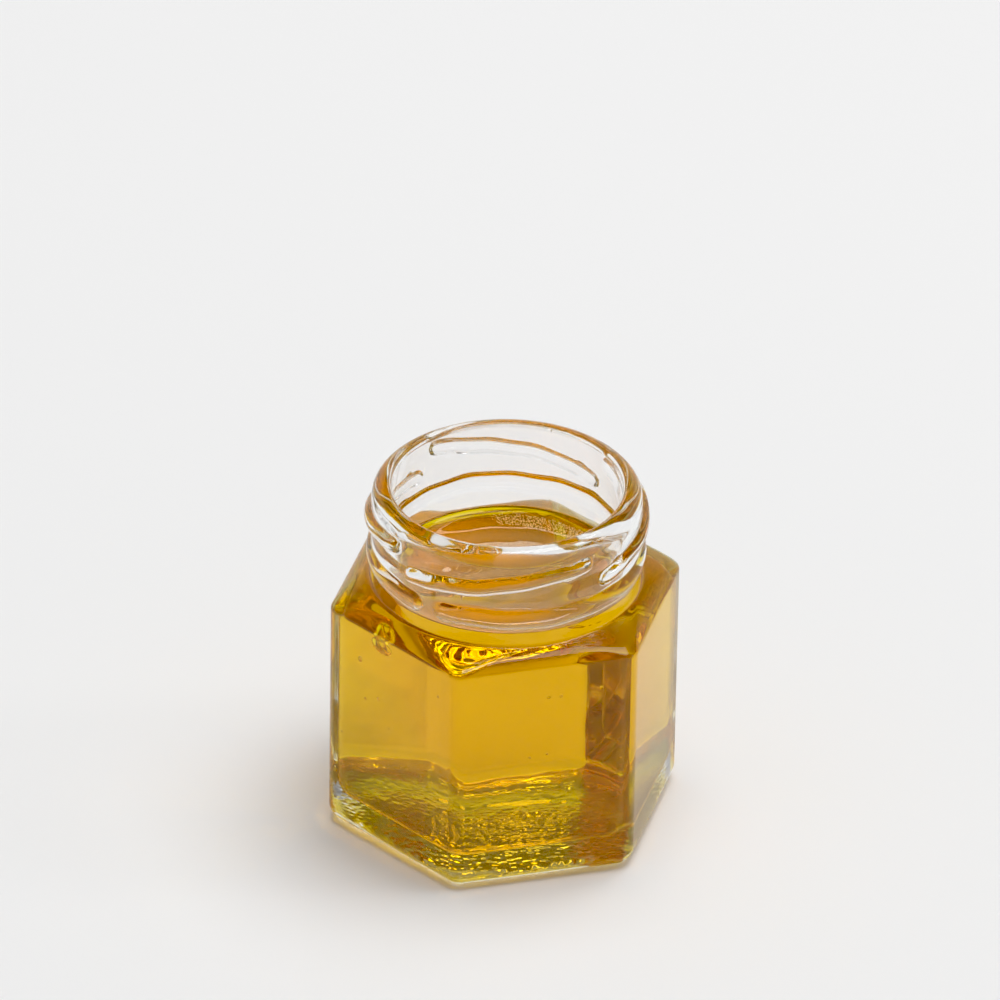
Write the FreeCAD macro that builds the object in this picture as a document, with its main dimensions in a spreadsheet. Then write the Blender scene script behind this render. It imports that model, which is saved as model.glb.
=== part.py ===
"""A small six-sided glass jar of honey, without its lid.

The jar is one glass solid: straight walls with rounded edges, a low domed shoulder, a
round neck with four rising lugs for a twist-off lid, a bead under them and a thick
rounded lip. The honey is a second solid: it fills the jar up to the foot of the neck
and creeps a little way up the glass.

Frame: millimetres, +Z up, the origin in the middle of the base, one wall facing -Y.
"""

import FreeCAD, Part

import math
import os

import Sketcher

SIZES = {
    "across_flats": 47.5,
    "edge_radius": 3.0,
    "heel_radius": 2.9,
    "shoulder_height": 37.7,
    "shoulder_edge": 0.6,
    "dome_swell": 0.3,
    "neck_foot": 39.9,
    "total_height": 55.8,
    "neck_radius": 20.3,
    "lip_outer_round": 2.4,
    "lip_inner_round": 0.6,
    "bore_radius": 17.3,
    "wall": 2.4,
    "shoulder_wall": 1.9,
    "inner_edge_radius": 3.0,
    "base_thickness": 4.6,
    "base_rise": 1.4,
    "inner_heel_radius": 2.9,
    "recess_radius": 17.5,
    "recess_depth": 1.1,
    "lug_depth": 1.1,
    "lug_width": 2.8,
    "lug_start": 27.8,
    "lug_sweep": 86.0,
    "lug_low": 48.3,
    "lug_rise": 4.0,
    "bead_depth": 0.7,
    "bead_width": 3.4,
    "bead_height": 44.5,
    "bead_start": 223.5,
    "bead_sweep": 353.0,
    "honey_level": 40.1,
    "honey_creep": 1.7,
}

SIDES = 6
LUGS = 4
LUG_SECTIONS = 11
BEAD_SECTIONS = 37
RIDGE_SINK = 0.3
RIDGE_END = 0.15
LUG_ROUND_SHARE = 0.05
BEAD_ROUND_SHARE = 0.012
OVERLAP = 2.0
CREEP_ANGLE = 60.0
CREEP_PAST = 6.0
CLEARANCE = 3.0
SAME_POINT = 1e-6
SHOULDER_MIDDLE = 0.58
MIDDLE_CORNER = 0.45
ROUND_LINE = 0.6


def make_sheet(doc):
    """The driving dimensions, one aliased cell each."""
    sheet = doc.addObject("Spreadsheet::Sheet", "Sizes")
    for row, (alias, value) in enumerate(SIZES.items(), start=1):
        sheet.set(f"A{row}", alias)
        sheet.set(f"B{row}", str(value))
        sheet.setAlias(f"B{row}", alias)
    doc.recompute()
    return sheet


def evaluate(body, expression):
    """The number that an expression on the sheet gives now."""
    return float(body.evalExpression(expression))


def polar(radius, degrees):
    angle = math.radians(degrees)
    return FreeCAD.Vector(radius * math.cos(angle), radius * math.sin(angle), 0)


def origin_feature(body, role):
    return next(item for item in body.Origin.OriginFeatures if item.Role == role)


def new_sketch(body, name, plane="XY_Plane", height="0", turn=None):
    """A sketch on one of the body's own planes, lifted by height or turned about Z."""
    sketch = body.newObject("Sketcher::SketchObject", name)
    sketch.AttachmentSupport = (origin_feature(body, plane), [""])
    sketch.MapMode = "FlatFace"
    if turn is None:
        sketch.setExpression("AttachmentOffset.Base.z", height)
    else:
        sketch.AttachmentOffset = FreeCAD.Placement(
            FreeCAD.Vector(0, 0, 0), FreeCAD.Rotation(FreeCAD.Vector(0, 1, 0), 1)
        )
        sketch.setExpression("AttachmentOffset.Rotation.Angle", turn)
    return sketch


def bind(sketch, constraint, expression):
    """Add a dimension and tie it to the sheet."""
    index = sketch.addConstraint(constraint)
    sketch.setExpression(f"Constraints[{index}]", expression)


def rounded_hexagon(body, name, height, half_flats, corner):
    """Six arcs and six lines round the origin, with one side facing -Y."""
    sketch = new_sketch(body, name, height=height)
    flat = evaluate(body, half_flats)
    radius = evaluate(body, corner)
    centre_distance = (flat - radius) / math.cos(math.pi / SIDES)
    step = 360 / SIDES
    for side in range(SIDES):
        turn = side * step
        centre = polar(centre_distance, turn)
        start = centre + polar(radius, turn - step / 2)
        end = centre + polar(radius, turn + step / 2)
        next_start = polar(centre_distance, turn + step) + polar(radius, turn + step / 2)
        sketch.addGeometry(Part.Arc(start, centre + polar(radius, turn), end))
        sketch.addGeometry(Part.LineSegment(end, next_start))
    circle = Part.Circle(FreeCAD.Vector(0, 0, 0), FreeCAD.Vector(0, 0, 1), flat)
    guide = sketch.addGeometry(circle, True)
    sketch.addConstraint(Sketcher.Constraint("Coincident", guide, 3, -1, 1))
    for side in range(SIDES):
        arc = 2 * side
        line = arc + 1
        next_arc = (arc + 2) % (2 * SIDES)
        sketch.addConstraint(Sketcher.Constraint("Tangent", arc, 2, line, 1))
        sketch.addConstraint(Sketcher.Constraint("Tangent", line, 2, next_arc, 1))
        sketch.addConstraint(Sketcher.Constraint("Tangent", line, guide))
        if side:
            sketch.addConstraint(Sketcher.Constraint("Equal", 0, arc))
            turn_angle = math.radians(step)
            sketch.addConstraint(Sketcher.Constraint("Angle", line - 2, line, turn_angle))
    sketch.addConstraint(Sketcher.Constraint("Horizontal", 3))
    bind(sketch, Sketcher.Constraint("Radius", guide, flat), half_flats)
    bind(sketch, Sketcher.Constraint("Radius", 0, radius), corner)
    return sketch


def pad(body, name, sketch, length):
    feature = body.newObject("PartDesign::Pad", name)
    feature.Profile = sketch
    feature.setExpression("Length", length)
    return feature


def loft(body, name, sketches):
    feature = body.newObject("PartDesign::AdditiveLoft", name)
    feature.Profile = sketches[0]
    feature.Sections = sketches[1:]
    return feature


def edges_at(shape, height):
    """Names of the edges that lie in the level plane at this height."""
    tolerance = 1e-4
    names = []
    for index, edge in enumerate(shape.Edges, start=1):
        if all(abs(vertex.Z - height) < tolerance for vertex in edge.Vertexes):
            names.append(f"Edge{index}")
    return names


def round_edges(body, name, base, height, radius):
    """A fillet on all the edges of the base feature at one height."""
    body.Document.recompute()
    feature = body.newObject("PartDesign::Fillet", name)
    feature.Base = (base, edges_at(base.Shape, height))
    feature.setExpression("Radius", radius)
    body.Document.recompute()
    return feature


def outline(body, name, corners, turn=None):
    """A closed outline in the XZ plane, X being the radius, with every corner bound.

    A corner is its radius and height as expressions, with a third one where the edge
    that follows is an arc: the arc's radius, with a minus where it bends clockwise.
    """
    sketch = new_sketch(body, name, plane="XZ_Plane", turn=turn)
    points = [FreeCAD.Vector(evaluate(body, x), evaluate(body, z), 0) for x, z, *_ in corners]
    ends = []
    for index, corner in enumerate(corners):
        start = points[index]
        end = points[(index + 1) % len(points)]
        bend = evaluate(body, corner[2]) if len(corner) == 3 else None
        sketch.addGeometry(edge_between(start, end, bend))
        in_order = sketch.getPoint(index, 1).distanceToPoint(start) < SAME_POINT
        ends.append((1, 2) if in_order else (2, 1))
    for index, corner in enumerate(corners):
        following = (index + 1) % len(corners)
        sketch.addConstraint(Sketcher.Constraint(
            "Coincident", index, ends[index][1], following, ends[following][0]))
        pin_point(sketch, index, ends[index][0], points[index], corner)
        if len(corner) == 3:
            radius = corner[2].removeprefix("-")
            bind(sketch, Sketcher.Constraint("Radius", index, evaluate(body, radius)), radius)
    return sketch


def edge_between(start, end, bend):
    """A line, or an arc of less than half a turn that bends left, or right for a minus."""
    if bend is None:
        return Part.LineSegment(start, end)
    chord = end - start
    half = chord.Length / 2
    sagitta = abs(bend) - math.sqrt(max(bend ** 2 - half ** 2, 0))
    right = FreeCAD.Vector(chord.y, -chord.x, 0).normalize()
    side = math.copysign(1, bend)
    return Part.Arc(start, (start + end) / 2 + right * side * sagitta, end)


def pin_point(sketch, edge, end, at, corner):
    """Hold one end of an edge at its radius and height."""
    if corner[0] == "0":
        sketch.addConstraint(Sketcher.Constraint("PointOnObject", edge, end, -2))
    else:
        bind(sketch, Sketcher.Constraint("DistanceX", -1, 1, edge, end, at.x), corner[0])
    if corner[1] == "0":
        sketch.addConstraint(Sketcher.Constraint("PointOnObject", edge, end, -1))
    else:
        bind(sketch, Sketcher.Constraint("DistanceY", -1, 1, edge, end, at.y), corner[1])


def dome_radius(half_width, rise):
    """The radius of an arc with this rise over twice the half width."""
    return f"(({half_width}) ^ 2 + ({rise}) ^ 2) / (2 * {rise})"


def revolve(body, name, sketch, kind="PartDesign::Revolution"):
    """A full turn of the outline about the jar's axis."""
    feature = body.newObject(kind, name)
    feature.Profile = sketch
    feature.ReferenceAxis = (sketch, ["V_Axis"])
    feature.Angle = 360
    return feature


def ridge(body, name, count, root, depth, width, round_share, place):
    """A loft through bulged sections in planes that turn about the neck.

    place(share) gives the expressions for a section's turn and height, with share
    running from 0 at one end to 1 at the other. Sections crowd towards the ends,
    where the ridge is rounded off over round_share of its length.
    """
    sketches = []
    for index in range(count):
        share = (1 - math.cos(math.pi * index / (count - 1))) / 2
        fullness = ridge_fullness(min(share, 1 - share) / round_share)
        turn, height = place(f"{share:.4f}")
        sketches.append(ridge_section(body, f"{name}Section{index}", turn, height, root,
                                      f"{fullness:.4f}", depth, width))
    body.Document.recompute()
    return loft(body, name, sketches)


def ridge_fullness(distance):
    """RIDGE_END at the very end, rising like a quarter circle to 1."""
    rounded = math.sqrt(1 - (1 - min(distance, 1)) ** 2)
    return RIDGE_END + (1 - RIDGE_END) * rounded


def ridge_section(body, name, turn, height, root, fullness, depth, width):
    """A straight back sunk in the neck, and an arc out to the crest and back."""
    back = f"{root} - {RIDGE_SINK}"
    bulge = f"({fullness} * ({depth} + {RIDGE_SINK}))"
    half = f"({fullness} * {width} / 2)"
    radius = dome_radius(half, bulge)
    corners = [
        (back, f"{height} - {half}", radius),
        (f"{back} + {bulge}", height, radius),
        (back, f"{height} + {half}"),
    ]
    return outline(body, name, corners, turn)


def shoulder(body, name, foot, top, foot_flats, top_radius, corner):
    """A domed loft from the hexagon of the walls to the round neck."""
    part = SHOULDER_MIDDLE
    levels = [foot, f"({foot}) * {1 - part:.3f} + ({top}) * {part}", top]
    swollen = f"({foot_flats} + {top_radius}) / 2 + Sizes.dome_swell"
    flats = [foot_flats, swollen, top_radius]
    corners = [corner, f"{top_radius} * {MIDDLE_CORNER}", f"{top_radius} - {ROUND_LINE}"]
    sketches = []
    for index, level in enumerate(levels):
        label = f"{name}Section{index}"
        sketches.append(rounded_hexagon(body, label, level, flats[index], corners[index]))
    body.Document.recompute()
    return loft(body, name, sketches)


def cut_groove(body, name, corners):
    """Take the outline's full turn out of the body, and see that it took something."""
    doc = body.Document
    doc.recompute()
    before = body.Shape.Volume
    revolve(body, name, outline(body, f"{name}Outline", corners), "PartDesign::Groove")
    doc.recompute()
    if not body.Shape.Volume < before:
        raise RuntimeError(f"{name} cut nothing")


def make_outside(doc, sheet):
    """The jar as if it were solid glass."""
    body = doc.addObject("PartDesign::Body", "Outside")
    flats = "Sizes.across_flats / 2"
    walls = rounded_hexagon(body, "WallOutline", "0", flats, "Sizes.edge_radius")
    pad(body, "Wall", walls, "Sizes.shoulder_height")
    dome = shoulder(body, "Shoulder", "Sizes.shoulder_height", "Sizes.neck_foot",
                    flats, "Sizes.neck_radius", "Sizes.edge_radius")
    edge = round_edges(body, "ShoulderEdge", dome, sheet.shoulder_height, "Sizes.shoulder_edge")
    round_edges(body, "Heel", edge, 0, "Sizes.heel_radius")
    add_neck(body)
    add_lugs(body)
    add_bead(body)
    cut_groove(body, "BaseRecess", [
        ("0", "0"),
        ("Sizes.recess_radius", "0", dome_radius("Sizes.recess_radius", "Sizes.recess_depth")),
        ("0", "Sizes.recess_depth"),
    ])
    return body


def add_neck(body):
    """The round neck and its lip, from inside the shoulder up to the top."""
    foot = f"Sizes.neck_foot - {OVERLAP}"
    sketch = outline(body, "NeckOutline", [
        ("0", foot),
        ("Sizes.neck_radius", foot),
        ("Sizes.neck_radius", "Sizes.total_height - Sizes.lip_outer_round", "Sizes.lip_outer_round"),
        ("Sizes.neck_radius - Sizes.lip_outer_round", "Sizes.total_height"),
        ("0", "Sizes.total_height"),
    ])
    body.Document.recompute()
    revolve(body, "Neck", sketch)
    body.Document.recompute()


def add_lugs(body):
    def place(share):
        return (f"Sizes.lug_start + Sizes.lug_sweep * {share}",
                f"Sizes.lug_low + Sizes.lug_rise * {share}")

    lug = ridge(body, "Lug", LUG_SECTIONS, "Sizes.neck_radius", "Sizes.lug_depth",
                "Sizes.lug_width", LUG_ROUND_SHARE, place)
    body.Document.recompute()
    pattern = body.newObject("PartDesign::PolarPattern", "Lugs")
    pattern.Originals = [lug]
    pattern.Axis = (origin_feature(body, "Z_Axis"), [""])
    pattern.Angle = 360
    pattern.Occurrences = LUGS
    body.Tip = pattern
    body.Document.recompute()


def add_bead(body):
    def place(share):
        return f"Sizes.bead_start + Sizes.bead_sweep * {share}", "Sizes.bead_height"

    ridge(body, "Bead", BEAD_SECTIONS, "Sizes.neck_radius", "Sizes.bead_depth",
          "Sizes.bead_width", BEAD_ROUND_SHARE, place)
    body.Document.recompute()


def make_inside(doc, sheet):
    """The hollow of the jar as a solid, running out past the lip."""
    body = doc.addObject("PartDesign::Body", "Inside")
    flats = "Sizes.across_flats / 2 - Sizes.wall"
    corner = "Sizes.inner_edge_radius"
    foot = "Sizes.shoulder_height - Sizes.shoulder_wall"
    top = "Sizes.neck_foot - Sizes.shoulder_wall"
    walls = rounded_hexagon(body, "HollowOutline", "Sizes.base_thickness", flats, corner)
    hollow = pad(body, "Hollow", walls, f"{foot} - Sizes.base_thickness")
    round_edges(body, "InnerHeel", hollow, sheet.base_thickness, "Sizes.inner_heel_radius")
    shoulder(body, "InnerShoulder", foot, top, flats, "Sizes.bore_radius", corner)
    flare = "Sizes.bore_radius + Sizes.lip_inner_round"
    past = f"Sizes.total_height + {CLEARANCE}"
    bore = outline(body, "BoreOutline", [
        ("0", f"{top} - {OVERLAP}"),
        ("Sizes.bore_radius", f"{top} - {OVERLAP}"),
        ("Sizes.bore_radius", "Sizes.total_height - Sizes.lip_inner_round", "-Sizes.lip_inner_round"),
        (flare, "Sizes.total_height"),
        (flare, past),
        ("0", past),
    ])
    doc.recompute()
    revolve(body, "Bore", bore)
    cut_groove(body, "BaseRise", [
        ("0", "0"),
        ("Sizes.recess_radius", "0"),
        ("Sizes.recess_radius", "Sizes.base_thickness",
         dome_radius("Sizes.recess_radius", "Sizes.base_rise")),
        ("0", "Sizes.base_thickness + Sizes.base_rise"),
    ])
    return body


def make_air(doc):
    """The space over the honey, whose edge curves up where honey wets the glass."""
    body = doc.addObject("PartDesign::Body", "Air")
    inner = "Sizes.bore_radius - Sizes.honey_creep"
    bend = f"Sizes.honey_creep / sin({CREEP_ANGLE})"
    end_angle = CREEP_ANGLE + CREEP_PAST
    curve_end = f"{inner} + {bend} * sin({end_angle})"
    curve_top = f"Sizes.honey_level + {bend} * (1 - cos({end_angle}))"
    outer = f"Sizes.bore_radius + {CLEARANCE}"
    top = f"Sizes.total_height + {2 * CLEARANCE}"
    sketch = outline(body, "AirOutline", [
        ("0", "Sizes.honey_level"),
        (inner, "Sizes.honey_level", bend),
        (curve_end, curve_top),
        (outer, curve_top),
        (outer, top),
        ("0", top),
    ])
    doc.recompute()
    revolve(body, "AirTurn", sketch)
    return body


def make_cut(doc, name, base, tool):
    cut = doc.addObject("Part::Cut", name)
    cut.Base = base
    cut.Tool = tool
    cut.Label = name
    cut.Placement = FreeCAD.Placement()
    return cut


def check_document(doc, parts):
    for item in doc.Objects:
        if "Invalid" in item.State or "Error" in item.State:
            raise RuntimeError(f"{item.Name} failed: {item.State}")
    for part in parts:
        shape = part.Shape
        if shape.isNull() or not shape.isValid() or len(shape.Solids) != 1:
            raise RuntimeError(f"{part.Label} isn't one valid solid")


def main():
    doc = FreeCAD.newDocument("HoneyJar")
    sheet = make_sheet(doc)
    outside = make_outside(doc, sheet)
    inside = make_inside(doc, sheet)
    air = make_air(doc)
    parts = [make_cut(doc, "jar", outside, inside), make_cut(doc, "honey", inside, air)]
    doc.recompute()
    check_document(doc, parts)
    os.makedirs("parts", exist_ok=True)
    for part in parts:
        part.Shape.exportStep(f"parts/{part.Label}.step")
        print(part.Label, round(part.Shape.Volume), "cubic mm")


main()
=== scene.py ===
"""The looks of a small six-sided glass jar of honey.

The glass and the honey are closed meshes worked out from the jar's sizes. Geometry
Nodes spread what repeats: fine bubbles in the honey and foam where it meets the glass.
The large bubbles are set one by one, and the stippling under the base is relief in the
glass's material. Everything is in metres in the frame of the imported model.
"""

import math

import bpy
import numpy as np
from bpy.props import (
    FloatProperty,
    FloatVectorProperty,
    IntProperty,
    PointerProperty,
)
from bpy.types import Operator, Panel, PropertyGroup
from mathutils import Matrix, Vector


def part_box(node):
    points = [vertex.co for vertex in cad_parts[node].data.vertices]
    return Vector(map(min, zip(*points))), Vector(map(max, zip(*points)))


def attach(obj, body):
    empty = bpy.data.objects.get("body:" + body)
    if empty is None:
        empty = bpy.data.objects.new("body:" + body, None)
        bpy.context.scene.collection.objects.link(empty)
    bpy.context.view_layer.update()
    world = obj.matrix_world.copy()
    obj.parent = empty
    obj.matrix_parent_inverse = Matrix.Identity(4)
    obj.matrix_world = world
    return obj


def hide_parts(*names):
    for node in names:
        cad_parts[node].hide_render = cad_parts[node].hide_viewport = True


bl_info = {
    "name": "Honey Jar",
    "version": (1, 0, 0),
    "blender": (4, 5, 0),
    "location": "3D View > Sidebar > Honey Jar",
    "description": "Makes a six-sided glass jar of honey with its bubbles and its table",
    "category": "Add Mesh",
}

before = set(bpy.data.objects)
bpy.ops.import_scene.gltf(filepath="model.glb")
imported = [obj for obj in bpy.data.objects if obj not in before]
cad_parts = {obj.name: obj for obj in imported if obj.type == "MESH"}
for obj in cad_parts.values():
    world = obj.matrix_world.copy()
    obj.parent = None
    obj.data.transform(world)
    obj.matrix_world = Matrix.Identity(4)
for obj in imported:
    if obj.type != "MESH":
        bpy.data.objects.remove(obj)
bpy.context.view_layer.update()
JAR_LOW, JAR_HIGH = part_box("jar")
HONEY_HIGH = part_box("honey")[1]

SIX = math.pi / 3
EDGE_STEPS = 26
WALL_STEPS = 38
EDGE_REACH = math.radians(6.5)
BORE_FOOT_RISE = 0.001  # how far over its corner with the shoulder the bore ends
SEAM_RADIUS = 0.0203  # where the seam's width is measured

# The honey's surface: how far in from the glass its rows crowd, and how many rows there are
CROWDED_REACH = 0.012
CROWDED_ROWS = 24
MIDDLE_ROWS = 4

# How far in from the glass the sheets lie that the fine bubbles and the foam grow on
BUBBLE_INSET = 0.0007
FOAM_INSET = 0.0011


def size(name, millimetres, description):
    """A length that the panel shows."""
    return FloatProperty(name=name, description=description, default=millimetres / 1000,
                         unit="LENGTH", precision=5)


def colour(name, value, description):
    return FloatVectorProperty(name=name, description=description, default=value,
                               subtype="COLOR", size=3, min=0, max=1)


class JarSizes(PropertyGroup):
    across_flats: size("Across flats", (JAR_HIGH.y - JAR_LOW.y) * 1000,
                       "Distance between two opposite walls")
    edge_radius: size("Edge radius", 3.0, "Rounding of the six upright edges")
    heel_radius: size("Heel radius", 2.9, "Rounding between the walls and the base")
    shoulder_height: size("Shoulder height", 37.7, "Where the walls end and the shoulder begins")
    shoulder_swell: size("Shoulder swell", 0.3, "How far the shoulder domes out")
    neck_foot: size("Neck foot", 39.9, "Where the shoulder meets the neck")
    neck_radius: size("Neck radius", 20.3, "Outside of the neck")
    total_height: size("Total height", JAR_HIGH.z * 1000, "Top of the lip")
    lip_outer_round: size("Lip outer round", 2.4, "Outer rounding of the lip")
    lip_inner_round: size("Lip inner round", 0.6, "Inner rounding of the lip")
    bore_radius: size("Bore radius", 17.3, "Inside of the neck")
    wall: size("Wall", 2.4, "Thickness of the walls")
    shoulder_wall: size("Shoulder wall", 1.9, "Thickness of the shoulder, upright")
    base_thickness: size("Base thickness", 4.6, "Height of the inner floor at its edge")
    base_rise: size("Base rise", 1.4, "How far the inner floor rises in the middle")
    recess_radius: size("Recess radius", 17.5, "Radius of the hollow under the base")
    recess_depth: size("Recess depth", 1.1, "Depth of the hollow under the base")


class RidgeSizes(PropertyGroup):
    lugs: IntProperty(name="Lugs", description="Rising lugs round the neck", default=4, min=1)
    lug_start: FloatProperty(name="Lug start", description="Turn at which a lug begins",
                             default=math.radians(27.8), subtype="ANGLE")
    lug_sweep: FloatProperty(name="Lug sweep", description="Turn that a lug covers",
                             default=math.radians(86), subtype="ANGLE")
    lug_low: size("Lug low", 48.3, "Height of a lug's low end")
    lug_rise: size("Lug rise", 4.0, "How far a lug climbs")
    lug_width: size("Lug width", 2.8, "Width of a lug")
    lug_depth: size("Lug depth", 1.1, "How far a lug stands out")
    bead_start: FloatProperty(name="Bead start", description="Turn at which the bead begins",
                              default=math.radians(223.5), subtype="ANGLE")
    bead_sweep: FloatProperty(name="Bead sweep", description="Turn that the bead covers",
                              default=math.radians(353), subtype="ANGLE")
    bead_height: size("Bead height", 44.5, "Height of the bead's middle")
    bead_width: size("Bead width", 3.4, "Width of the bead")
    bead_depth: size("Bead depth", 0.7, "How far the bead stands out")
    seam_turn: FloatProperty(name="Seam turn", description="Where the mould's seam runs",
                             default=math.radians(-124.6), subtype="ANGLE")
    seam_height: size("Seam height", 0.06, "How far the mould's seam stands out")
    seam_width: size("Seam width", 0.3, "Width of the mould's seam")


class HoneyLooks(PropertyGroup):
    level: size("Level", 40.1, "Height of the flat surface")
    climb: size("Climb", 1.05, "How far the honey climbs up the glass")
    creep: size("Creep", 1.0, "Distance from the glass over which the climb dies away")
    reach: size("Reach into the glass", 0.05, "How far the honey runs into the wall")
    tint: colour("Tint", (0.982, 0.905, 0.01), "Colour that the honey lets through")
    depth: FloatProperty(name="Depth of colour", description="Absorption for each metre",
                         default=120, min=0)
    clearness: FloatProperty(name="Clearness", description="Share of light that isn't scattered",
                             default=0.92, min=0, max=1)
    haze_tint: colour("Haze tint", (1.0, 0.83, 0.04), "Colour of the light that is scattered")
    bubble_seed: IntProperty(name="Bubble seed", description="Scatter of the bubbles", default=4)
    bubble_density: FloatProperty(name="Bubble density", description="Bubbles on a square metre",
                                  default=9000, min=0)
    foam_density: FloatProperty(name="Foam density", description="Foam bubbles on a square metre",
                                default=14000000, min=0)
    foam_width: size("Foam width", 2.6, "Width of the foam along the glass")


class StudioLooks(PropertyGroup):
    focal_length: FloatProperty(name="Focal length", description="Lens of the camera in mm",
                                default=451.95)
    distance: size("Camera distance", 1876.36, "From the camera to what it looks at")
    turn: FloatProperty(name="Camera turn", description="Direction of the camera from the jar",
                        default=math.radians(-105.215), subtype="ANGLE")
    elevation: FloatProperty(name="Camera elevation", description="Angle above the table",
                             default=math.radians(31.746), subtype="ANGLE")
    roll: FloatProperty(name="Camera roll", description="Turn about the line of sight",
                        default=math.radians(0.974), subtype="ANGLE")
    aim_height: size("Aim height", 52.914, "Height of the point that the camera looks at")
    aim_side: size("Aim side", -1.063, "How far that point is to the right of the axis")
    table: colour("Table", (0.86, 0.86, 0.86), "Colour of the table")
    table_gap: size("Table gap", 0.1, "Air between the base and the table")


# Large bubbles: turn in degrees, distance from the axis, height, then half the width,
# depth and height, in millimetres
LARGE_BUBBLES = (
    (-171.9, 22.20, 30.7, 0.45, 0.42, 0.48),
    (-162.0, 21.00, 25.4, 0.36, 0.27, 0.27),
    (-169.1, 21.70, 24.2, 0.30, 0.22, 0.22),
    (-155.6, 20.60, 21.2, 0.18, 0.18, 0.18),
    (-87.3, 20.60, 31.4, 0.32, 0.24, 0.24),
    (-81.9, 20.70, 31.3, 0.28, 0.21, 0.21),
    (-66.0, 22.40, 32.0, 0.36, 0.30, 0.30),
    (-162.5, 19.90, 34.5, 2.4, 0.80, 1.25),
)

# Softboxes: name, turn to the right of straight behind the jar and angle above the table in
# degrees, distance, width, height, radiance, the point it faces, and whether it is mirrored
ON_AXIS = (0, 0, 0.04)
ON_HONEY = (0.0020, 0.0075, 0.0401)
SOFTBOXES = (
    ("surface_card", 0, 33.0, 0.353, 0.05, 0.017, 3.5, ON_HONEY, True),
    ("top_softbox", 0, 86, 3, 0.9, 0.55, 4.0, ON_AXIS, True),
    ("right_softbox", 90, 32, 3, 0.5, 0.5, 5.0, ON_AXIS, True),
    ("key_softbox", 65, 68, 3, 1.4, 1.4, 2.6, ON_AXIS, True),
    ("fill_softbox", 70, 80, 3, 2.6, 2.6, 2.4, ON_AXIS, False),
)


# Shapes worked out from the sizes


def turns_round():
    """Angles round the axis, close together at the six upright edges."""
    near = np.linspace(-EDGE_REACH, EDGE_REACH, EDGE_STEPS + 1)
    far = np.linspace(EDGE_REACH, SIX - EDGE_REACH, WALL_STEPS + 1)[1:-1]
    one_side = np.concatenate([near, far])
    return np.concatenate([one_side + SIX * side for side in range(6)])


def hexagon_radius(turns, half_flats, corner):
    """Distance from the axis to a rounded hexagon that has its edges at 0, 60, ... degrees."""
    away = np.abs((turns + SIX / 2) % SIX - SIX / 2)
    centre = (half_flats - corner) / math.cos(SIX / 2)
    bend = SIX / 2 - math.atan((half_flats - corner) * math.tan(SIX / 2) / half_flats)
    flat = half_flats / np.cos(SIX / 2 - away)
    inside = np.maximum(corner ** 2 - (centre * np.sin(away)) ** 2, 0)
    round_edge = centre * np.cos(away) + np.sqrt(inside)
    return np.where(away >= bend, flat, round_edge)


def ring(turns, radius, height):
    """One row of points round the axis."""
    height = np.broadcast_to(height, turns.shape)
    return np.column_stack([radius * np.cos(turns), radius * np.sin(turns), height])


def hexagon_ring(turns, section):
    half_flats, corner, height = section
    return ring(turns, hexagon_radius(turns, half_flats, corner), height)


def bent(before, corner, after, steps):
    """Sections along a smooth bend that takes the place of a sharp corner."""
    before, corner, after = map(np.array, (before, corner, after))
    return [before * (1 - t) ** 2 + corner * 2 * t * (1 - t) + after * t * t
            for t in np.linspace(0, 1, steps)]


def straight(first, last, steps):
    """Sections from the first to the last, both left out."""
    first, last = np.array(first), np.array(last)
    return [first + (last - first) * t for t in np.linspace(0, 1, steps + 2)[1:-1]]


def cap_height(radius, reach, rise):
    """Height of a shallow dome over its rim, at a distance from its middle."""
    ball = (reach ** 2 + rise ** 2) / (2 * rise)
    return np.sqrt(ball ** 2 - radius ** 2) - (ball - rise)


def shoulder_section(share, foot, top, swell, middle=0.58, middle_corner=0.45):
    """Half width, corner radius and height at a share of the way up a domed shoulder."""
    foot, top = np.array(foot), np.array(top)
    between = (foot + top) / 2 + np.array([swell, 0, 0])
    between[1] = top[0] * middle_corner
    between[2] = foot[2] * (1 - middle) + top[2] * middle
    return (foot * (2 * share - 1) * (share - 1) + between * 4 * share * (1 - share)
            + top * share * (2 * share - 1))


def fullness(share, rounded):
    """1 along a ridge, falling to 0 as a quarter circle at both its ends."""
    distance = np.clip(np.minimum(share, 1 - share) / rounded, 0, 1)
    return np.sqrt(1 - (1 - distance) ** 2)


def swelling(height, middle, width, depth, full):
    """A rounded ridge of this width and depth about its middle height."""
    full = np.maximum(full, 1e-3)
    across = np.clip(np.abs(height - middle) / (width / 2 * full), 0, 1)
    return depth * full * (1 - across ** 2.2)


def wobble(turns):
    """How far the ridges wander up and down, as pressed glass does."""
    return 0.00012 * np.sin(7 * turns + 0.4) + 0.00007 * np.sin(17 * turns + 2.0)


def lug_path(ridges, turns):
    """Share along the nearest lug, and the height of its middle, at each turn."""
    pitch = 2 * math.pi / ridges.lugs
    gap = (pitch - ridges.lug_sweep) / 2
    share = (((turns - ridges.lug_start + gap) % pitch) - gap) / ridges.lug_sweep
    return share, ridges.lug_low + ridges.lug_rise * share


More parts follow.
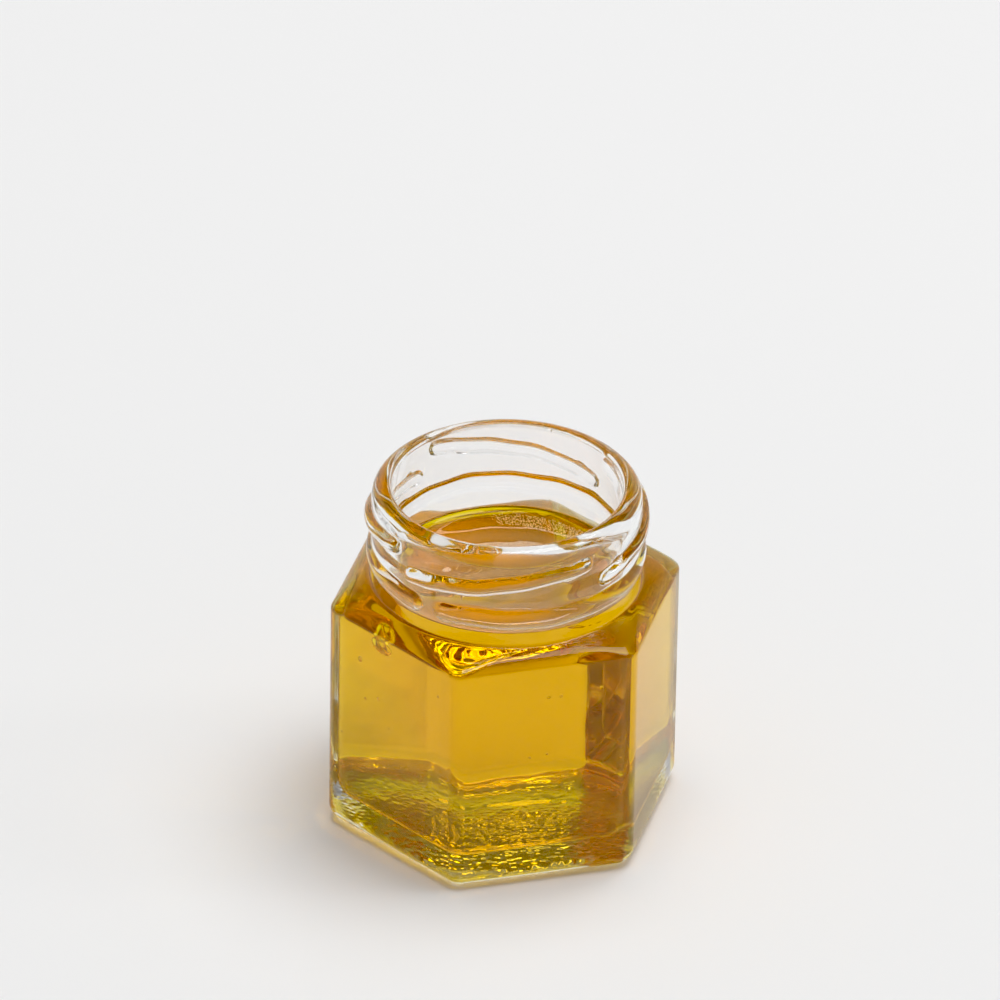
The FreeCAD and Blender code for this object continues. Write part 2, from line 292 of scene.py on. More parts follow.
def neck_ridges(ridges, turns, heights):
    """How far the lugs, the bead and the seam stand out from the neck."""
    pitch = 2 * math.pi / ridges.lugs
    out = np.zeros_like(heights)
    for lug in range(ridges.lugs):
        angle = (turns - ridges.lug_start - lug * pitch) % (2 * math.pi)
        share = angle / ridges.lug_sweep
        full = np.where(share <= 1, fullness(share, 0.05), 0)
        middle = ridges.lug_low + ridges.lug_rise * share + wobble(turns)
        bump = swelling(heights, middle, ridges.lug_width, ridges.lug_depth, full)
        out = np.maximum(out, np.where(full > 0, bump, 0))
    share = ((turns - ridges.bead_start) % (2 * math.pi)) / ridges.bead_sweep
    full = np.where(share <= 1, fullness(share, 0.012), 0)
    middle = ridges.bead_height + wobble(turns + 1.3)
    bump = swelling(heights, middle, ridges.bead_width, ridges.bead_depth, full)
    out = np.maximum(out, np.where(full > 0, bump, 0))
    return out + seam(ridges, turns)


def seam(ridges, turns):
    """The mould's seam, on two opposite sides."""
    away = (turns - ridges.seam_turn + math.pi / 2) % math.pi - math.pi / 2
    across = away * SEAM_RADIUS / (ridges.seam_width / 2)
    return ridges.seam_height * np.exp(-across ** 2)


def lug_heights(ridges, turns, low, high, count):
    """Rows of heights between low and high that crowd on the lugs and follow their rise."""
    share, middle = lug_path(ridges, turns)
    half = ridges.lug_width * 0.6
    even = np.linspace(0, 1, count)[:, None] * (high - low) + low
    side, across = 0.16, 0.68
    position = np.linspace(0, 1, count)[:, None]
    below = low + (middle - half - low) * position / side
    on_lug = middle - half + 2 * half * (position - side) / across
    above = middle + half + (high - middle - half) * (position - side - across) / side
    crowded = np.where(position < side, below, np.where(position < side + across, on_lug, above))
    lug_is_whole = np.clip(np.minimum(share - 0.09, 0.91 - share) / 0.08, 0, 1)
    lug_is_whole = lug_is_whole ** 2 * (3 - 2 * lug_is_whole)
    return even + (crowded - even) * lug_is_whole


def outside_rings(jar, ridges, turns):
    """Rows from the middle of the base, up the outside, to the top of the lip."""
    half, corner, heel = jar.across_flats / 2, jar.edge_radius, jar.heel_radius
    rings = []
    for radius in jar.recess_radius * np.linspace(0, 1, 13)[1:]:
        rings.append(ring(turns, radius, cap_height(radius, jar.recess_radius, jar.recess_depth)))
    heel_line = hexagon_radius(turns, half - heel, corner - heel)
    for share in (0.2, 0.4, 0.6, 0.8):
        radius = jar.recess_radius + (heel_line - jar.recess_radius) * share
        rings.append(ring(turns, radius, 0))
    for bend in np.linspace(0, math.pi / 2, 11):
        inset = heel * (1 - math.sin(bend))
        section = (half - inset, corner - inset, heel * (1 - math.cos(bend)))
        rings.append(hexagon_ring(turns, section))
    foot = (half, corner, jar.shoulder_height)
    top = (jar.neck_radius, jar.neck_radius, jar.neck_foot)
    wall_top = (half, corner, jar.shoulder_height - 0.00035)
    sections = straight((half, corner, heel), wall_top, 9)
    sections += bent(wall_top, foot, shoulder_section(0.09, foot, top, jar.shoulder_swell), 7)
    sections += [shoulder_section(share, foot, top, jar.shoulder_swell)
                 for share in np.linspace(0.09, 0.9, 15)[1:-1]]
    neck_start = (jar.neck_radius, jar.neck_radius, jar.neck_foot + 0.0005)
    sections += bent(shoulder_section(0.9, foot, top, jar.shoulder_swell), top, neck_start, 7)
    rings += [hexagon_ring(turns, section) for section in sections]
    return rings + neck_rings(jar, ridges, turns, neck_start[2])


def neck_rings(jar, ridges, turns, start):
    """Rows up the neck with its ridges, and over the lip to its top."""
    bead_low = ridges.bead_height - ridges.bead_width / 2 - 0.0001
    bead_high = ridges.bead_height + ridges.bead_width / 2 + 0.0001
    lug_low = ridges.lug_low - ridges.lug_width / 2 - 0.0002
    lug_high = ridges.lug_low + ridges.lug_rise + ridges.lug_width / 2 + 0.0002
    heights = [np.full_like(turns, height) for height in np.concatenate([
        np.linspace(start, bead_low, 9)[1:], np.linspace(bead_low, bead_high, 23)[1:]])]
    heights += list(lug_heights(ridges, turns, lug_low, lug_high, 52))
    lip = jar.total_height - jar.lip_outer_round
    first_bend = math.asin(max(lug_high - lip, 0) / jar.lip_outer_round)
    heights += [np.full_like(turns, lip + jar.lip_outer_round * math.sin(bend))
                for bend in np.linspace(first_bend, math.pi / 2, 15)[1:]]
    rings = []
    for height in heights:
        above = np.clip((height - lip) / jar.lip_outer_round, 0, 1)
        radius = jar.neck_radius - jar.lip_outer_round * (1 - np.sqrt(1 - above ** 2))
        out = neck_ridges(ridges, turns, height) * np.clip((1 - above) / 0.3, 0, 1)
        rings.append(ring(turns, radius + out, height))
    return rings


def bore_ripple(turns, height):
    """The slight waves that blowing leaves inside the neck."""
    waves = (0.5 * np.sin(3 * turns + 1.1 + height * 700) + 0.5 * np.sin(height * 1150 + 0.8)
             + 0.3 * np.sin(5 * turns - height * 900 + 2.0))
    return 0.0001 * waves


def bore_foot_height(jar):
    """Where the plain bore ends and the inside of the shoulder begins."""
    return jar.neck_foot - jar.shoulder_wall + BORE_FOOT_RISE


def inside_sections(jar):
    """Sections of the hollow, from the bore down to the inner floor's edge."""
    half, corner = jar.across_flats / 2 - jar.wall, jar.edge_radius
    foot = (half, corner, jar.shoulder_height - jar.shoulder_wall)
    top = (jar.bore_radius, jar.bore_radius, jar.neck_foot - jar.shoulder_wall)
    bore_end = (jar.bore_radius, jar.bore_radius, bore_foot_height(jar))
    wall_top = (half, corner, foot[2] - 0.0012)
    heel_top = (half, corner, jar.base_thickness + jar.heel_radius)
    sections = bent(bore_end, top, shoulder_section(0.85, foot, top, jar.shoulder_swell), 7)
    sections += [shoulder_section(share, foot, top, jar.shoulder_swell)
                 for share in np.linspace(0.85, 0.16, 10)[1:-1]]
    sections += bent(shoulder_section(0.16, foot, top, jar.shoulder_swell), foot, wall_top, 8)
    sections += straight(wall_top, heel_top, 7)
    for bend in np.linspace(0, math.pi / 2, 11):
        inset = jar.heel_radius * (1 - math.cos(bend))
        height = jar.base_thickness + jar.heel_radius * (1 - math.sin(bend))
        sections.append(np.array([half - inset, corner - inset, height]))
    return sections


def floor_rings(jar, turns, reach=0.0):
    """Rows of the inner floor, from the heel to near its middle."""
    half = jar.across_flats / 2 - jar.wall - jar.heel_radius
    heel_line = hexagon_radius(turns, half, jar.edge_radius - jar.heel_radius)
    rings = []
    for share in (0.75, 0.5, 0.25):
        radius = jar.recess_radius + (heel_line - jar.recess_radius) * share
        rings.append(ring(turns, radius, jar.base_thickness - reach))
    for radius in jar.recess_radius * np.linspace(1, 0, 10)[:-1]:
        rise = cap_height(radius, jar.recess_radius, jar.base_rise)
        rings.append(ring(turns, radius, jar.base_thickness + rise - reach))
    return rings


def inside_rings(jar, turns):
    """Rows from the top of the lip, down the inside, to the inner floor."""
    rings = []
    centre = jar.bore_radius + jar.lip_inner_round
    start = jar.total_height - jar.lip_inner_round
    for bend in np.linspace(0, math.pi / 2, 8)[1:]:
        radius = centre - jar.lip_inner_round * math.sin(bend)
        rings.append(ring(turns, radius, start + jar.lip_inner_round * math.cos(bend)))
    bore_foot = bore_foot_height(jar)
    for share in np.linspace(0, 1, 26)[1:-1]:
        height = start + (bore_foot - start) * share
        fade = min(1, 8 * share, 8 * (1 - share))
        rings.append(ring(turns, jar.bore_radius + fade * bore_ripple(turns, height), height))
    rings += [hexagon_ring(turns, section) for section in inside_sections(jar)]
    return rings + floor_rings(jar, turns)


def surface_height(honey, inward):
    """Height of the honey's surface at a distance in from the glass."""
    return honey.level + honey.climb * np.exp(-inward / honey.creep)


def honey_rings(jar, honey, turns):
    """Rows from the inner floor up the glass and in over the honey's surface."""
    reach = honey.reach
    rings = floor_rings(jar, turns, reach)[::-1]
    for half, corner, height in inside_sections(jar)[::-1]:
        height -= reach * (height < jar.base_thickness + jar.heel_radius)
        rings.append(hexagon_ring(turns, (half + reach, corner + reach, height)))
    start = bore_foot_height(jar)
    for height in np.linspace(start, honey.level + honey.climb, 8)[1:]:
        rings.append(ring(turns, jar.bore_radius + reach, height))
    for inward in CROWDED_REACH * np.linspace(0, 1, CROWDED_ROWS) ** 2:
        rings.append(ring(turns, jar.bore_radius - inward, surface_height(honey, inward)))
    for share in np.linspace(1, 0, MIDDLE_ROWS + 2)[1:-1]:
        rings.append(ring(turns, (jar.bore_radius - CROWDED_REACH) * share, honey.level))
    return rings


def closed_mesh(name, rings, first_height, last_height):
    """A closed surface through the rings, with a point on the axis at each end."""
    rows, count = len(rings), len(rings[0])
    points = np.concatenate([[[0, 0, first_height]], *rings, [[0, 0, last_height]]])
    here = np.arange(count)
    following = (here + 1) % count
    last = rows * count + 1
    faces = [(0, b, a) for a, b in zip(1 + here, 1 + following)]
    for row in range(rows - 1):
        low, high = 1 + row * count, 1 + (row + 1) * count
        faces += zip(low + here, low + following, high + following, high + here)
    edge = 1 + (rows - 1) * count
    faces += [(a, b, last) for a, b in zip(edge + here, edge + following)]
    mesh = bpy.data.meshes.new(name)
    mesh.from_pydata(points.tolist(), [], [tuple(int(i) for i in face) for face in faces])
    mesh.shade_smooth()
    return mesh


def finish_piece(name, mesh, material, stands_for=()):
    """Put the mesh on the jar's body as a finished piece."""
    piece = bpy.data.objects.new(name, mesh)
    bpy.context.scene.collection.objects.link(piece)
    if material.name not in [m.name for m in mesh.materials if m]:
        mesh.materials.append(material)
    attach(piece, "root")
    if stands_for:
        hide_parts(*stands_for)
    return piece


def mark_wetted(mesh, wetted):
    """Keep, on each point, whether glass and honey touch there."""
    points = np.empty(len(mesh.vertices) * 3)
    mesh.vertices.foreach_get("co", points)
    points = points.reshape(-1, 3)
    layer = mesh.attributes.new("wetted", "FLOAT", "POINT")
    layer.data.foreach_set("value", wetted(points).astype(np.float32))


# Materials


def new_material(name):
    material = bpy.data.materials.new(name)
    material.use_nodes = True
    nodes = material.node_tree.nodes
    nodes.clear()
    return material, nodes, material.node_tree.links


def add_node(nodes, kind, values=None, **settings):
    node = nodes.new(kind)
    for key, value in settings.items():
        setattr(node, key, value)
    for key, value in (values or {}).items():
        node.inputs[key].default_value = value
    return node


def clear_shader(nodes, links, ior, tint=(1, 1, 1), clearness=1.0):
    """A smooth clear shader and the output that it goes to."""
    output = add_node(nodes, "ShaderNodeOutputMaterial")
    shader = add_node(nodes, "ShaderNodeBsdfPrincipled", {
        "Base Color": (*tint, 1), "Roughness": 0.0, "IOR": ior,
        "Transmission Weight": clearness})
    links.new(shader.outputs["BSDF"], output.inputs["Surface"])
    return output, shader


def dull_where_wetted(nodes, links, shader):
    """Take the glare off where glass and honey touch, since light passes between them."""
    wetted = add_node(nodes, "ShaderNodeAttribute", attribute_name="wetted")
    dull = add_node(nodes, "ShaderNodeMix", data_type="RGBA")
    dull.inputs["A"].default_value = (1, 1, 1, 1)
    dull.inputs["B"].default_value = (0, 0, 0, 1)
    links.new(wetted.outputs["Fac"], dull.inputs["Factor"])
    links.new(dull.outputs["Result"], shader.inputs["Specular Tint"])


def ripple_normal(nodes, links, shader, scale, strength, distance):
    """A faint waviness over the whole surface."""
    place = add_node(nodes, "ShaderNodeTexCoord")
    noise = add_node(nodes, "ShaderNodeTexNoise", {"Scale": scale, "Detail": 1.0})
    bump = add_node(nodes, "ShaderNodeBump", {"Strength": strength, "Distance": distance})
    links.new(place.outputs["Object"], noise.inputs["Vector"])
    links.new(noise.outputs["Fac"], bump.inputs["Height"])
    links.new(bump.outputs["Normal"], shader.inputs["Normal"])
    return place, bump


def stipple_base(nodes, links, place, bump, shader):
    """Stippling pressed into the underside, over the waviness."""
    split = add_node(nodes, "ShaderNodeSeparateXYZ")
    flat = add_node(nodes, "ShaderNodeVectorMath", {1: (1, 1, 0)}, operation="MULTIPLY")
    away = add_node(nodes, "ShaderNodeVectorMath", operation="LENGTH")
    low = add_node(nodes, "ShaderNodeMapRange", {
        "From Min": 0.0012, "From Max": 0.0018, "To Min": 1.0, "To Max": 0.0})
    inner = add_node(nodes, "ShaderNodeMapRange", {
        "From Min": 0.0195, "From Max": 0.0208, "To Min": 1.0, "To Max": 0.0})
    dots = add_node(nodes, "ShaderNodeTexNoise", {"Scale": 900.0, "Detail": 0.0})
    cloud = add_node(nodes, "ShaderNodeTexNoise", {"Scale": 240.0, "Detail": 0.0})
    mixed = add_node(nodes, "ShaderNodeMath", operation="ADD")
    mask = add_node(nodes, "ShaderNodeMath", operation="MULTIPLY")
    height = add_node(nodes, "ShaderNodeMath", operation="MULTIPLY")
    pressed = add_node(nodes, "ShaderNodeBump", {"Strength": 1.0, "Distance": 0.0001})
    links.new(place.outputs["Object"], split.inputs["Vector"])
    links.new(place.outputs["Object"], flat.inputs[0])
    links.new(flat.outputs["Vector"], away.inputs[0])
    links.new(place.outputs["Object"], dots.inputs["Vector"])
    links.new(place.outputs["Object"], cloud.inputs["Vector"])
    links.new(split.outputs["Z"], low.inputs["Value"])
    links.new(away.outputs["Value"], inner.inputs["Value"])
    links.new(low.outputs["Result"], mask.inputs[0])
    links.new(inner.outputs["Result"], mask.inputs[1])
    links.new(dots.outputs["Fac"], mixed.inputs[0])
    links.new(cloud.outputs["Fac"], mixed.inputs[1])
    links.new(mixed.outputs["Value"], height.inputs[0])
    links.new(mask.outputs["Value"], height.inputs[1])
    links.new(height.outputs["Value"], pressed.inputs["Height"])
    links.new(bump.outputs["Normal"], pressed.inputs["Normal"])
    links.new(pressed.outputs["Normal"], shader.inputs["Normal"])


def glass_material():
    material, nodes, links = new_material("clear_glass")
    output, shader = clear_shader(nodes, links, 1.52)
    dull_where_wetted(nodes, links, shader)
    place, bump = ripple_normal(nodes, links, shader, 180, 0.12, 0.0003)
    stipple_base(nodes, links, place, bump, shader)
    thickness = add_node(nodes, "ShaderNodeVolumeAbsorption",
                         {"Color": (0.90, 0.96, 0.93, 1), "Density": 14.0})
    links.new(thickness.outputs["Volume"], output.inputs["Volume"])
    return material


def honey_material(honey):
    material, nodes, links = new_material("clear_honey")
    output, shader = clear_shader(nodes, links, 1.49, honey.haze_tint, honey.clearness)
    dull_where_wetted(nodes, links, shader)
    ripple_normal(nodes, links, shader, 90, 0.05, 0.0002)
    thickness = add_node(nodes, "ShaderNodeVolumeAbsorption",
                         {"Color": (*honey.tint, 1), "Density": honey.depth})
    links.new(thickness.outputs["Volume"], output.inputs["Volume"])
    return material


def bubble_material():
    """Air inside honey, which bends light the other way."""
    material, nodes, links = new_material("air_bubble")
    clear_shader(nodes, links, 1 / 1.49)
    return material


def foam_material():
    """Foam, too fine to look into, which is pale and glossy."""
    material, nodes, links = new_material("pale_foam")
    output = add_node(nodes, "ShaderNodeOutputMaterial")
    shader = add_node(nodes, "ShaderNodeBsdfPrincipled", {
        "Base Color": (0.93, 0.72, 0.34, 1), "Roughness": 0.25, "IOR": 1.49})
    links.new(shader.outputs["BSDF"], output.inputs["Surface"])
    return material


# Bubbles and foam by Geometry Nodes


def new_tree(name, inputs):
    """A tree that takes a mesh and the named inputs, and gives a mesh."""
    tree = bpy.data.node_groups.new(name, "GeometryNodeTree")
    tree.interface.new_socket("Mesh", in_out="INPUT", socket_type="NodeSocketGeometry")
    for key, kind in inputs.items():
        tree.interface.new_socket(key, in_out="INPUT", socket_type=kind)
    tree.interface.new_socket("Mesh", in_out="OUTPUT", socket_type="NodeSocketGeometry")
    return tree, tree.nodes.new("NodeGroupInput"), tree.nodes.new("NodeGroupOutput")


def bubble_tree():
    """Balls of uneven size strewn over a sheet."""
    tree, given, result = new_tree("bubbles", {
        "Density": "NodeSocketFloat", "Seed": "NodeSocketInt", "Least": "NodeSocketFloat",
        "Largest": "NodeSocketFloat", "Rings": "NodeSocketInt", "Material": "NodeSocketMaterial"})
    nodes, links = tree.nodes, tree.links
    strewn = nodes.new("GeometryNodeDistributePointsOnFaces")
    ball = nodes.new("GeometryNodeMeshIcoSphere")
    place = nodes.new("GeometryNodeInstanceOnPoints")
    spread = add_node(nodes, "FunctionNodeRandomValue", data_type="FLOAT")
    realize = nodes.new("GeometryNodeRealizeInstances")
    paint = nodes.new("GeometryNodeSetMaterial")
    smooth = nodes.new("GeometryNodeSetShadeSmooth")
    least, largest = spread.inputs[2], spread.inputs[3]  # the two that a FLOAT draw reads
    ball.inputs["Radius"].default_value = 1.0
    links.new(given.outputs["Mesh"], strewn.inputs["Mesh"])
    links.new(given.outputs["Density"], strewn.inputs["Density"])
    links.new(given.outputs["Seed"], strewn.inputs["Seed"])
    links.new(given.outputs["Rings"], ball.inputs["Subdivisions"])
    links.new(given.outputs["Least"], least)
    links.new(given.outputs["Largest"], largest)
    links.new(given.outputs["Seed"], spread.inputs["Seed"])
    links.new(strewn.outputs["Points"], place.inputs["Points"])
    links.new(ball.outputs["Mesh"], place.inputs["Instance"])
    links.new(spread.outputs[1], place.inputs["Scale"])
    links.new(place.outputs["Instances"], realize.inputs["Geometry"])
    links.new(realize.outputs["Geometry"], smooth.inputs["Geometry"])
    links.new(smooth.outputs["Geometry"], paint.inputs["Geometry"])
    links.new(given.outputs["Material"], paint.inputs["Material"])
    links.new(paint.outputs["Geometry"], result.inputs["Mesh"])
    return tree


def grown(name, sheet, tree, values):
    """The plain mesh that a tree makes from a sheet."""
    holder = bpy.data.objects.new(name, sheet)
    bpy.context.scene.collection.objects.link(holder)
    modifier = holder.modifiers.new("bubbles", "NODES")
    modifier.node_group = tree
    for item in tree.interface.items_tree:
        if item.in_out == "INPUT" and item.name in values:
            modifier[item.identifier] = values[item.name]
    ready = holder.evaluated_get(bpy.context.evaluated_depsgraph_get())
    mesh = bpy.data.meshes.new_from_object(ready)
    holder.modifiers.clear()
    bpy.data.objects.remove(holder)
    bpy.data.meshes.remove(sheet)
    mesh.name = name
    return mesh


def grid_mesh(name, points):
    """An open sheet through rows of points."""
    rows, count = len(points), len(points[0])
    corners = [row * count + i for row in range(rows - 1) for i in range(count - 1)]
    faces = [(at, at + 1, at + count + 1, at + count) for at in corners]
    mesh = bpy.data.meshes.new(name)
    mesh.from_pydata(np.concatenate(points).tolist(), [], faces)
    return mesh


def bubble_mesh(name, bubbles):
    """Balls, squeezed ones among them: turn, distance from the axis, height, three half sizes."""
    points, faces = [], []
    rows, count = 12, 20
    for turn, distance, height, across, deep, high in bubbles:
        turn = math.radians(turn)
        outward = np.array([math.cos(turn), math.sin(turn), 0])
        sideways = np.array([-math.sin(turn), math.cos(turn), 0])
        middle = outward * distance / 1000 + np.array([0, 0, height / 1000])
        first = len(points)
        angles = np.linspace(0, 2 * math.pi, count + 1)[:-1]
        points.append(middle - [0, 0, high / 1000])
        for lift in np.linspace(-math.pi / 2, math.pi / 2, rows + 1)[1:-1]:
            for angle in angles:
                points.append(middle + (sideways * math.cos(angle) * across
                                        + outward * math.sin(angle) * deep) * math.cos(lift) / 1000
                              + np.array([0, 0, high * math.sin(lift) / 1000]))
        points.append(middle + [0, 0, high / 1000])
        last = len(points) - 1
        for i in range(count):
            j = (i + 1) % count
            faces.append((first, first + 1 + i, first + 1 + j))
            faces.append((last, last - count + j, last - count + i))
            for row in range(rows - 2):
                low = first + 1 + row * count
                faces.append((low + i, low + count + i, low + count + j, low + j))
    mesh = bpy.data.meshes.new(name)
    mesh.from_pydata([tuple(point) for point in points], [], faces)
    mesh.shade_smooth()
    return mesh


def joined(name, meshes):
    """One mesh out of several."""
    points, faces = [], []
    for mesh in meshes:
        first = len(points)
        points += [tuple(vertex.co) for vertex in mesh.vertices]
        faces += [tuple(first + i for i in face.vertices) for face in mesh.polygons]
        bpy.data.meshes.remove(mesh)
    mesh = bpy.data.meshes.new(name)
    mesh.from_pydata(points, [], faces)
    mesh.shade_smooth()
    return mesh


# Operators


class HONEYJAR_OT_glass(Operator):
    """Make the glass: walls, shoulder, ridged neck, lip and base in one surface"""

    bl_idname = "honeyjar.glass"
    bl_label = "Glass"

    def execute(self, context):
        jar, ridges = context.scene.jar_sizes, context.scene.ridge_sizes
        turns = turns_round()
        outside = outside_rings(jar, ridges, turns)
        rings = outside + inside_rings(jar, turns)
        mesh = closed_mesh("glass", rings, jar.recess_depth, jar.base_thickness + jar.base_rise)
        first_inside = 1 + len(outside) * len(turns)
        inner = np.arange(len(mesh.vertices)) >= first_inside
        mark_wetted(mesh, lambda points: inner & (points[:, 2] < HONEY_HIGH.z))
        finish_piece("glass_jar", mesh, glass_material(), ["jar"])
        return {"FINISHED"}


class HONEYJAR_OT_honey(Operator):
    """Make the honey: it fills the hollow and creeps up the glass at its edge"""

    bl_idname = "honeyjar.honey"
    bl_label = "Honey"

    def execute(self, context):
        jar, honey = context.scene.jar_sizes, context.scene.honey_looks
        turns = turns_round()
        rings = honey_rings(jar, honey, turns)
        floor = jar.base_thickness + jar.base_rise - honey.reach
        mesh = closed_mesh("honey", rings, floor, honey.level)
        count = len(mesh.vertices)
        free = (CROWDED_ROWS + MIDDLE_ROWS) * len(turns)
        mark_wetted(mesh, lambda points: np.arange(count) < count - free)
        finish_piece("honey_fill", mesh, honey_material(honey), ["honey"])
        return {"FINISHED"}


class HONEYJAR_OT_bubbles(Operator):
    """Spread small bubbles in the honey behind the walls, and set the large ones"""

    bl_idname = "honeyjar.bubbles"
    bl_label = "Bubbles"

    def execute(self, context):
        jar, honey = context.scene.jar_sizes, context.scene.honey_looks
        turns = np.linspace(-math.pi, math.pi, 97)
        half = jar.across_flats / 2 - jar.wall - BUBBLE_INSET
        sheet = grid_mesh("behind_walls", [
            ring(turns, hexagon_radius(turns, half, jar.edge_radius), height)
            for height in np.linspace(jar.base_thickness + 0.006, jar.shoulder_height - 0.003, 9)])
        values = {"Density": honey.bubble_density, "Seed": honey.bubble_seed, "Least": 0.00006,
                  "Largest": 0.00024, "Rings": 2, "Material": bubble_material()}
        small = grown("small_bubbles", sheet, bubble_tree(), values)
        large = bubble_mesh("large_bubbles", LARGE_BUBBLES)
        mesh = joined("bubbles", [small, large])
        finish_piece("bubbles", mesh, values["Material"])
        return {"FINISHED"}


class HONEYJAR_OT_foam(Operator):
    """Make the foam of fine bubbles that lies along the glass on one side"""

    bl_idname = "honeyjar.foam"
    bl_label = "Foam"

    def execute(self, context):
        jar, honey = context.scene.jar_sizes, context.scene.honey_looks
        turns = np.radians(np.linspace(18, 84, 67))
        taper = (np.clip((turns - turns[0]) / 0.15, 0, 1)
                 * np.clip((turns[-1] - turns) / 0.1, 0, 1))
        rows = []
        for share in np.linspace(0, 1, 9):
            inward = FOAM_INSET + honey.foam_width * share * (0.35 + 0.65 * taper)
            rows.append(ring(turns, jar.bore_radius - inward, surface_height(honey, inward)))
        values = {"Density": honey.foam_density, "Seed": honey.bubble_seed + 1, "Least": 0.00004,
                  "Largest": 0.00011, "Rings": 2, "Material": foam_material()}
        mesh = grown("foam", grid_mesh("foam_sheet", rows), bubble_tree(), values)
        finish_piece("foam", mesh, values["Material"])
        return {"FINISHED"}


class HONEYJAR_OT_studio(Operator):
    """Make the table, the soft lights and the camera"""

    bl_idname = "honeyjar.studio"
    bl_label = "Studio"

    def execute(self, context):
        studio = context.scene.studio_looks
        make_table(studio)
        make_surroundings(context.scene)
        make_lights(studio)
        make_camera(context.scene, studio)
        set_up_view(context.scene)
        return {"FINISHED"}


def make_table(studio):
    mesh = bpy.data.meshes.new("table")
    reach, top = 4.0, -studio.table_gap
    corners = [(x * reach, y * reach, top) for x, y in ((-1, -1), (1, -1), (1, 1), (-1, 1))]
    mesh.from_pydata(corners, [], [(0, 1, 2, 3)])
    material, nodes, links = new_material("matt_table")
    output = add_node(nodes, "ShaderNodeOutputMaterial")
    shader = add_node(nodes, "ShaderNodeBsdfPrincipled", {
        "Base Color": (*studio.table, 1), "Roughness": 0.9, "Specular IOR Level": 0.1})
    links.new(shader.outputs["BSDF"], output.inputs["Surface"])
    mesh.materials.append(material)
    table = bpy.data.objects.new("table", mesh)
    bpy.context.scene.collection.objects.link(table)


def make_surroundings(scene):
    """A room that is pale level with the table and dimmer overhead, where the softboxes hang."""
    world = bpy.data.worlds.new("studio")
    world.use_nodes = True
    nodes, links = world.node_tree.nodes, world.node_tree.links
    nodes.clear()
    output = add_node(nodes, "ShaderNodeOutputWorld")
    room = add_node(nodes, "ShaderNodeBackground")
    place = add_node(nodes, "ShaderNodeTexCoord")
    split = add_node(nodes, "ShaderNodeSeparateXYZ")
    fade = add_node(nodes, "ShaderNodeMapRange", {
        "From Min": 0.25, "From Max": 0.62, "To Min": 0.85, "To Max": 0.2},
        interpolation_type="SMOOTHSTEP")
    links.new(place.outputs["Generated"], split.inputs["Vector"])
    links.new(split.outputs["Z"], fade.inputs["Value"])
    links.new(fade.outputs["Result"], room.inputs["Strength"])
    room.inputs["Color"].default_value = (1, 1, 1, 1)
    links.new(room.outputs["Background"], output.inputs["Surface"])
    scene.world = world


def make_lights(studio):
    behind = studio.turn + math.pi
    for name, turn, elevation, distance, width, height, radiance, aim, mirrored in SOFTBOXES:
        lamp = add_softbox(name, behind - math.radians(turn), math.radians(elevation), distance,
                           width, height, radiance, Vector(aim))
        lamp.visible_glossy = mirrored


def add_softbox(name, turn, elevation, distance, width, height, radiance, aim):
    """An area light that faces the aim; its power follows from its radiance."""
    light = bpy.data.lights.new(name, "AREA")
    light.shape = "RECTANGLE"
    light.size, light.size_y = width, height
    light.energy = radiance * width * height * math.pi
    lamp = bpy.data.objects.new(name, light)
    direction = Vector((math.cos(turn) * math.cos(elevation),
                        math.sin(turn) * math.cos(elevation), math.sin(elevation)))
    lamp.location = aim + direction * distance
    lamp.rotation_euler = direction.to_track_quat("Z", "Y").to_euler()
    bpy.context.scene.collection.objects.link(lamp)
    return lamp


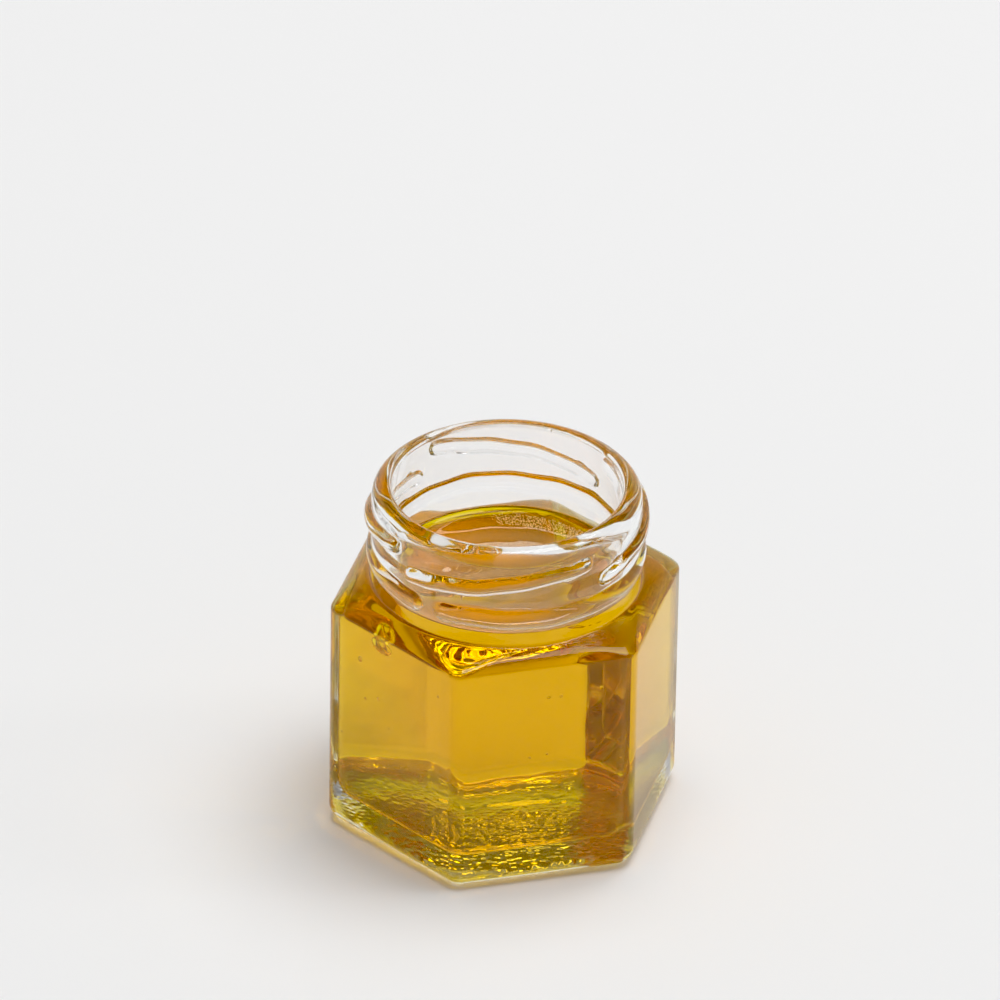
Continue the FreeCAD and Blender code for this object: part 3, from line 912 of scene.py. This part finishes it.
def make_camera(scene, studio):
    turn, elevation, roll = studio.turn, studio.elevation, studio.roll
    back = Vector((math.cos(turn) * math.cos(elevation),
                   math.sin(turn) * math.cos(elevation), math.sin(elevation)))
    right = Vector((-math.sin(turn), math.cos(turn), 0))
    up = back.cross(right)
    target = right * studio.aim_side + Vector((0, 0, studio.aim_height))
    side = right * math.cos(roll) + up * math.sin(roll)
    upward = up * math.cos(roll) - right * math.sin(roll)
    data = bpy.data.cameras.new("camera")
    data.lens, data.sensor_width = studio.focal_length, 36
    data.clip_start, data.clip_end = 0.05, 50
    camera = bpy.data.objects.new("camera", data)
    turned = Matrix((side, upward, back)).transposed().to_4x4()
    camera.matrix_world = Matrix.Translation(target + back * studio.distance) @ turned
    scene.collection.objects.link(camera)
    scene.camera = camera


def set_up_view(scene):
    scene.view_settings.view_transform = "Standard"
    scene.view_settings.look = "None"
    scene.view_settings.use_curve_mapping = True
    scene.view_settings.curve_mapping.black_level = (0.03, 0.03, 0.03)
    scene.view_settings.curve_mapping.update()
    cycles = scene.cycles
    cycles.max_bounces = 32
    cycles.transmission_bounces = 32
    cycles.glossy_bounces = 12
    cycles.diffuse_bounces = 4
    cycles.blur_glossy = 0.15


class HONEYJAR_PT_panel(Panel):
    """The jar's pieces and what may be changed about them"""

    bl_idname = "HONEYJAR_PT_panel"
    bl_label = "Honey Jar"
    bl_space_type = "VIEW_3D"
    bl_region_type = "UI"
    bl_category = "Honey Jar"

    def draw(self, context):
        for operator in STEPS:
            self.layout.operator(operator.bl_idname)
        for group in GROUPS:
            box = self.layout.box()
            for name in GROUPS[group].__annotations__:
                box.prop(getattr(context.scene, group), name)


GROUPS = {
    "jar_sizes": JarSizes,
    "ridge_sizes": RidgeSizes,
    "honey_looks": HoneyLooks,
    "studio_looks": StudioLooks,
}
STEPS = (HONEYJAR_OT_glass, HONEYJAR_OT_honey, HONEYJAR_OT_bubbles, HONEYJAR_OT_foam,
         HONEYJAR_OT_studio)


def register():
    for item in (*GROUPS.values(), *STEPS, HONEYJAR_PT_panel):
        bpy.utils.register_class(item)
    for name, group in GROUPS.items():
        setattr(bpy.types.Scene, name, PointerProperty(type=group))


def unregister():
    for name in GROUPS:
        delattr(bpy.types.Scene, name)
    for item in (HONEYJAR_PT_panel, *reversed(STEPS), *reversed(GROUPS.values())):
        bpy.utils.unregister_class(item)


def main():
    register()
    bpy.ops.honeyjar.glass()
    bpy.ops.honeyjar.honey()
    bpy.ops.honeyjar.bubbles()
    bpy.ops.honeyjar.foam()
    bpy.ops.honeyjar.studio()


if __name__ == "__main__":
    main()
